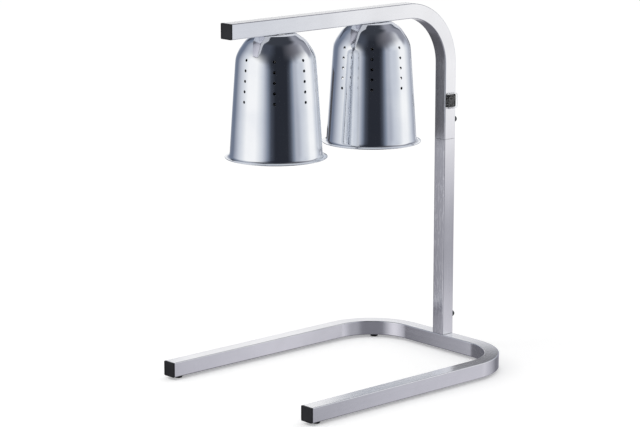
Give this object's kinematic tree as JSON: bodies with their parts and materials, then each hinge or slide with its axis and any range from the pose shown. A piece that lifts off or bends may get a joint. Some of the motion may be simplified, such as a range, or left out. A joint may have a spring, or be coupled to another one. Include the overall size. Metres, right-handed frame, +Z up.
{
  "type": "food heat lamp",
  "caption": "Counter-top food heat lamp: vented spun-metal shades with reflector bulbs hang from a bent square-tube arm over an open U-shaped base on rubber feet.",
  "frame": {"origin": "bottom centre of the bounding box, on the surface that the feet stand on", "axes": "+Z up; the arm's free end and the open end of the base point to -Y, the column stands at +Y, and the switch faces +X"},
  "size_m": [0.373, 0.5178, 0.6211],
  "materials": {
    "satin_tube": "satin, brushed along the tube",
    "inner_tube": "mill finish",
    "spun_shade": "spun and polished",
    "black_plastic": "fine moulded grain",
    "black_rubber": "matte",
    "clear_boot": "clear, slightly cloudy",
    "dark_screw": "blackened, semi-gloss",
    "zinc_steel": "zinc plated",
    "porcelain": "glazed",
    "brass": "bright",
    "bulb_glass": "clear face, silvered reflector",
    "tungsten": "drawn wire",
    "red_lead": "heat-resistant sleeve",
    "white_lead": "heat-resistant sleeve"
  },
  "bodies": {
    "stand": {"base_frame": "satin_tube", "base_cap_left": "black_plastic", "base_cap_right": "black_plastic", "foot_front_left": "black_rubber", "foot_front_right": "black_rubber", "foot_rear_left": "black_rubber", "foot_rear_right": "black_rubber", "column_post": "inner_tube", "post_nut": "zinc_steel", "lower_column": "satin_tube", "column_sleeve": "inner_tube", "sleeve_nut": "zinc_steel", "arm_tube": "satin_tube", "arm_cap": "black_plastic", "cable_inlet": "black_plastic", "wire_cap": "white_lead", "live_lead": "red_lead", "neutral_lead": "white_lead", "switch_housing": "black_plastic", "switch_boot": "clear_boot", "switch_terminal_upper": "brass", "switch_terminal_lower": "brass", "front_shade": "spun_shade", "front_lamp_nipple": "zinc_steel", "front_arm_nut": "zinc_steel", "front_shade_nut": "zinc_steel", "front_lampholder": "porcelain", "front_screw_shell": "brass", "front_centre_contact": "brass", "front_bulb_cap": "brass", "front_bulb_insulator": "black_plastic", "front_bulb_eyelet": "zinc_steel", "front_bulb_glass": "bulb_glass", "front_bulb_stem": "bulb_glass", "front_filament": "tungsten", "rear_shade": "spun_shade", "rear_lamp_nipple": "zinc_steel", "rear_arm_nut": "zinc_steel", "rear_shade_nut": "zinc_steel", "rear_lampholder": "porcelain", "rear_screw_shell": "brass", "rear_centre_contact": "brass", "rear_bulb_cap": "brass", "rear_bulb_insulator": "black_plastic", "rear_bulb_eyelet": "zinc_steel", "rear_bulb_glass": "bulb_glass", "rear_bulb_stem": "bulb_glass", "rear_filament": "tungsten"},
    "rocker": {"switch_rocker": "black_plastic"},
    "lower_screw": {"post_screw": "dark_screw"},
    "upper_screw": {"sleeve_screw": "dark_screw"}
  },
  "joints": [
    {"name": "rocker_tilt", "type": "hinge", "parent": "stand", "child": "rocker", "pos_m": [0.0133, 0.23195, 0.4458], "axis": [0, -1, 0], "range_deg": [0, 20]},
    {"name": "lower_screw_turn", "type": "hinge", "parent": "stand", "child": "lower_screw", "pos_m": [0, 0.24465, 0.0617], "axis": [0, 1, 0], "continuous": true},
    {"name": "upper_screw_turn", "type": "hinge", "parent": "stand", "child": "upper_screw", "pos_m": [0, 0.24465, 0.4098], "axis": [0, 1, 0], "continuous": true}
  ]
}
